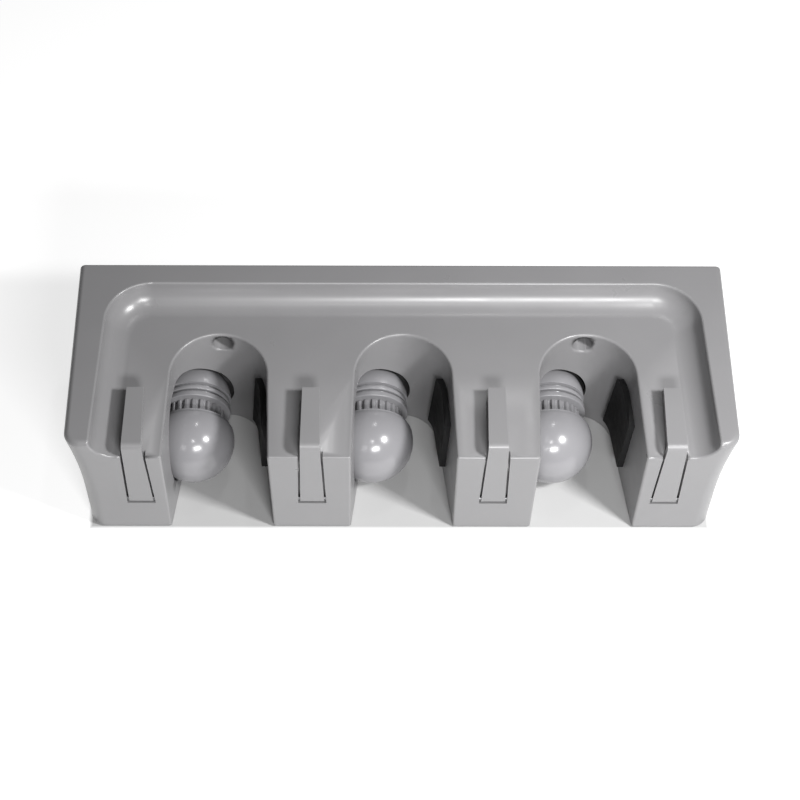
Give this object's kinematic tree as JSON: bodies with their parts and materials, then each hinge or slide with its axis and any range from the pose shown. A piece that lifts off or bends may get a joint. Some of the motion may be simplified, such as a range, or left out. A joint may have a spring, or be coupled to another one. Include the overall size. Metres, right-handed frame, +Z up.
{
  "type": "wall-mounted tool handle holder",
  "caption": "Wall-mounted holder with a top tray, bays that grip upright handles between a rising roller and a rubber pad, and fold-out hooks.",
  "frame": {"origin": "middle of the case's bounding box in X and Y, on the flat bottom it stands on", "axes": "+X along the case to the right, +Y towards the wall, +Z up"},
  "size_m": [0.275, 0.09, 0.07],
  "materials": {
    "case_plastic": "mid grey moulded plastic, satin gloss",
    "hook_plastic": "mid grey moulded plastic, satin gloss",
    "ball_plastic": "smooth grey plastic, glossy",
    "gear_plastic": "grey plastic, satin",
    "cover_plastic": "grey plastic, fine matt grain",
    "track_plastic": "natural acetal, matt",
    "pad_rubber": "black moulded rubber",
    "steel": "drawn steel pin",
    "screw_steel": "zinc-plated steel"
  },
  "bodies": {
    "case": {"housing": "case_plastic", "back_cover": "cover_plastic", "hook_pins": "steel", "track_screws": "screw_steel", "cover_screws": "screw_steel", "track_1": "track_plastic", "track_2": "track_plastic", "track_3": "track_plastic", "grip_pad_1": "pad_rubber", "grip_pad_2": "pad_rubber", "grip_pad_3": "pad_rubber"},
    "axle_1": {"axle_1": "steel"},
    "roller_1": {"roller_ball_1": "ball_plastic", "roller_gear_1": "gear_plastic", "roller_cap_1": "ball_plastic"},
    "axle_2": {"axle_2": "steel"},
    "roller_2": {"roller_ball_2": "ball_plastic", "roller_gear_2": "gear_plastic", "roller_cap_2": "ball_plastic"},
    "axle_3": {"axle_3": "steel"},
    "roller_3": {"roller_ball_3": "ball_plastic", "roller_gear_3": "gear_plastic", "roller_cap_3": "ball_plastic"},
    "hook_1": {"hook_1": "hook_plastic"},
    "hook_2": {"hook_2": "hook_plastic"},
    "hook_3": {"hook_3": "hook_plastic"},
    "hook_4": {"hook_4": "hook_plastic"}
  },
  "joints": [
    {"name": "roller_1_travel", "type": "slide", "parent": "case", "child": "axle_1", "axis": [-0.766, 0, 0.6428], "range_m": [0, 0.022]},
    {"name": "roller_1_spin", "type": "hinge", "parent": "axle_1", "child": "roller_1", "pos_m": [-0.08975, -0.0136, 0.02], "axis": [0, 1, 0], "range_deg": [-102, 0]},
    {"name": "roller_2_travel", "type": "slide", "parent": "case", "child": "axle_2", "axis": [-0.766, 0, 0.6428], "range_m": [0, 0.022]},
    {"name": "roller_2_spin", "type": "hinge", "parent": "axle_2", "child": "roller_2", "pos_m": [-0.012, -0.0136, 0.02], "axis": [0, 1, 0], "range_deg": [-102, 0]},
    {"name": "roller_3_travel", "type": "slide", "parent": "case", "child": "axle_3", "axis": [-0.766, 0, 0.6428], "range_m": [0, 0.022]},
    {"name": "roller_3_spin", "type": "hinge", "parent": "axle_3", "child": "roller_3", "pos_m": [0.06575, -0.0136, 0.02], "axis": [0, 1, 0], "range_deg": [-102, 0]},
    {"name": "hook_1_fold", "type": "hinge", "parent": "case", "child": "hook_1", "pos_m": [-0.11, -0.0433, 0.0233], "axis": [1, 0, 0], "range_deg": [0, 90]},
    {"name": "hook_2_fold", "type": "hinge", "parent": "case", "child": "hook_2", "pos_m": [-0.0374, -0.0433, 0.0233], "axis": [1, 0, 0], "range_deg": [0, 90]},
    {"name": "hook_3_fold", "type": "hinge", "parent": "case", "child": "hook_3", "pos_m": [0.0394, -0.0433, 0.0233], "axis": [1, 0, 0], "range_deg": [0, 90]},
    {"name": "hook_4_fold", "type": "hinge", "parent": "case", "child": "hook_4", "pos_m": [0.112, -0.0433, 0.0233], "axis": [1, 0, 0], "range_deg": [0, 90]}
  ],
  "couplings": [
    {"joint": "roller_1_spin", "follows": "roller_1_travel", "rad_per_m": -80.554},
    {"joint": "roller_2_spin", "follows": "roller_2_travel", "rad_per_m": -80.554},
    {"joint": "roller_3_spin", "follows": "roller_3_travel", "rad_per_m": -80.554}
  ]
}
